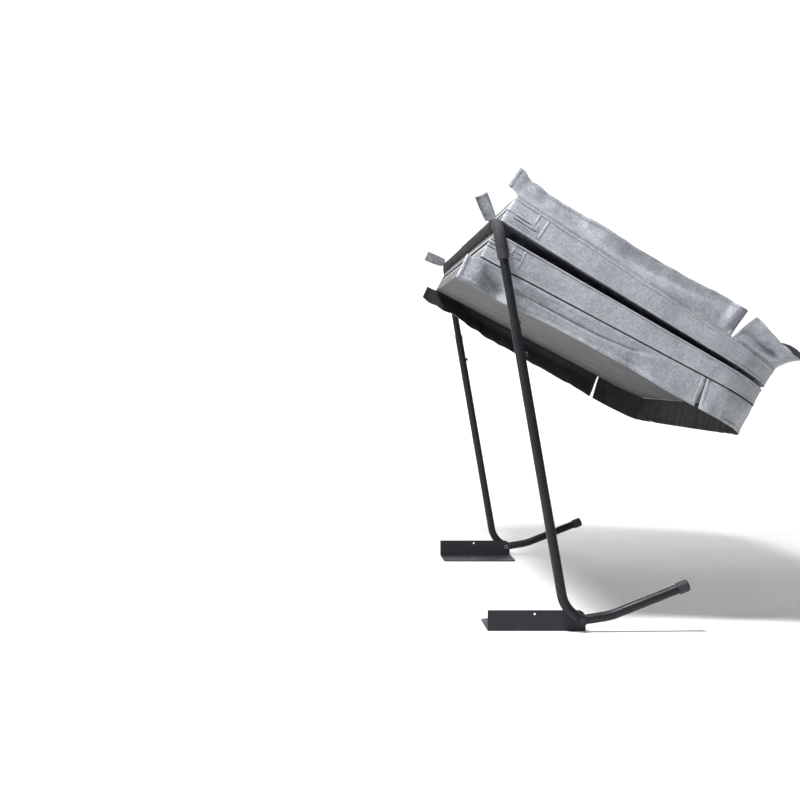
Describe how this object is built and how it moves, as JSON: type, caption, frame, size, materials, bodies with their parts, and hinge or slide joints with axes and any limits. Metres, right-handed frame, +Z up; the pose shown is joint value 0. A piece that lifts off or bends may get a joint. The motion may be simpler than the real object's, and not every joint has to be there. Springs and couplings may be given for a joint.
{
  "type": "spa cover",
  "caption": "Folding padded spa cover in grey vinyl, folded over the crossbar of a tubular cover lifter with foot levers, part way through its swing.",
  "frame": {"origin": "on the floor, directly under the lifter's pivot axis, midway between the two base brackets", "axes": "+X from the spa out towards the foot levers, +Y towards the spa's left side, along the crossbar, +Z up"},
  "size_m": [1.0726, 2.2926, 1.4728],
  "materials": {
    "bracket_paint": "satin",
    "tube_paint": "satin",
    "dark_bolt": "satin",
    "zinc_nut": "satin",
    "nylon": "matte",
    "sleeve_foam": "matte",
    "cap_rubber": "satin",
    "outer_vinyl": "satin",
    "under_vinyl": "matte",
    "fold_vinyl": "satin",
    "core_foam": "matte",
    "channel_steel": "satin",
    "zip_tape": "matte"
  },
  "bodies": {
    "base": {"left_base_bracket": "bracket_paint", "left_pivot_bolt": "dark_bolt", "left_pivot_nut": "zinc_nut", "left_pivot_washer": "nylon", "right_base_bracket": "bracket_paint", "right_pivot_bolt": "dark_bolt", "right_pivot_nut": "zinc_nut", "right_pivot_washer": "nylon"},
    "lifter": {"clamp_screws": "dark_bolt", "crossbar_screws": "dark_bolt", "crossbar_tube": "tube_paint", "left_elbow_sleeve": "sleeve_foam", "left_foot_cap": "cap_rubber", "left_foot_tube": "tube_paint", "left_lower_arm": "tube_paint", "left_pivot_bush": "nylon", "left_pivot_hub": "tube_paint", "left_upper_arm": "tube_paint", "lock_screws": "dark_bolt", "right_elbow_sleeve": "sleeve_foam", "right_foot_cap": "cap_rubber", "right_foot_tube": "tube_paint", "right_lower_arm": "tube_paint", "right_pivot_bush": "nylon", "right_pivot_hub": "tube_paint", "right_upper_arm": "tube_paint"},
    "rear_half": {"rear_bottom_panel": "under_vinyl", "rear_end_skirt": "outer_vinyl", "rear_foam_core": "core_foam", "rear_fold_band": "fold_vinyl", "rear_fold_channel": "channel_steel", "rear_left_skirt": "outer_vinyl", "rear_right_skirt": "outer_vinyl", "rear_side_band": "outer_vinyl", "rear_top_panel": "outer_vinyl", "rear_zipper": "zip_tape", "rear_zipper_pull": "zip_tape"},
    "front_half": {"front_bottom_panel": "under_vinyl", "front_end_skirt": "outer_vinyl", "front_foam_core": "core_foam", "front_fold_band": "fold_vinyl", "front_fold_channel": "channel_steel", "front_left_skirt": "outer_vinyl", "front_right_skirt": "outer_vinyl", "front_side_band": "outer_vinyl", "front_top_panel": "outer_vinyl", "front_zipper": "zip_tape", "front_zipper_pull": "zip_tape"},
    "hinge": {"hinge_strip": "outer_vinyl", "left_hinge_tab": "outer_vinyl", "right_hinge_tab": "outer_vinyl"}
  },
  "joints": [
    {"name": "arm_swing", "type": "hinge", "parent": "base", "child": "lifter", "pos_m": [0, 0, 0.038], "axis": [0, 1, 0], "range_deg": [-27.8, 20.5]},
    {"name": "cover_swing", "type": "hinge", "parent": "lifter", "child": "rear_half", "pos_m": [-0.266, 0, 1.297], "axis": [0, 1, 0], "range_deg": [-2, 42]},
    {"name": "cover_fold", "type": "hinge", "parent": "rear_half", "child": "front_half", "pos_m": [-0.266, 0, 1.297], "axis": [0, 1, 0], "range_deg": [-185.4, 0]},
    {"name": "hinge_follow", "type": "hinge", "parent": "rear_half", "child": "hinge", "pos_m": [-0.266, 0, 1.297], "axis": [0, 1, 0], "range_deg": [-129, 0]}
  ],
  "couplings": [
    {"joint": "hinge_follow", "follows": "cover_fold", "ratio": 0.6958}
  ]
}
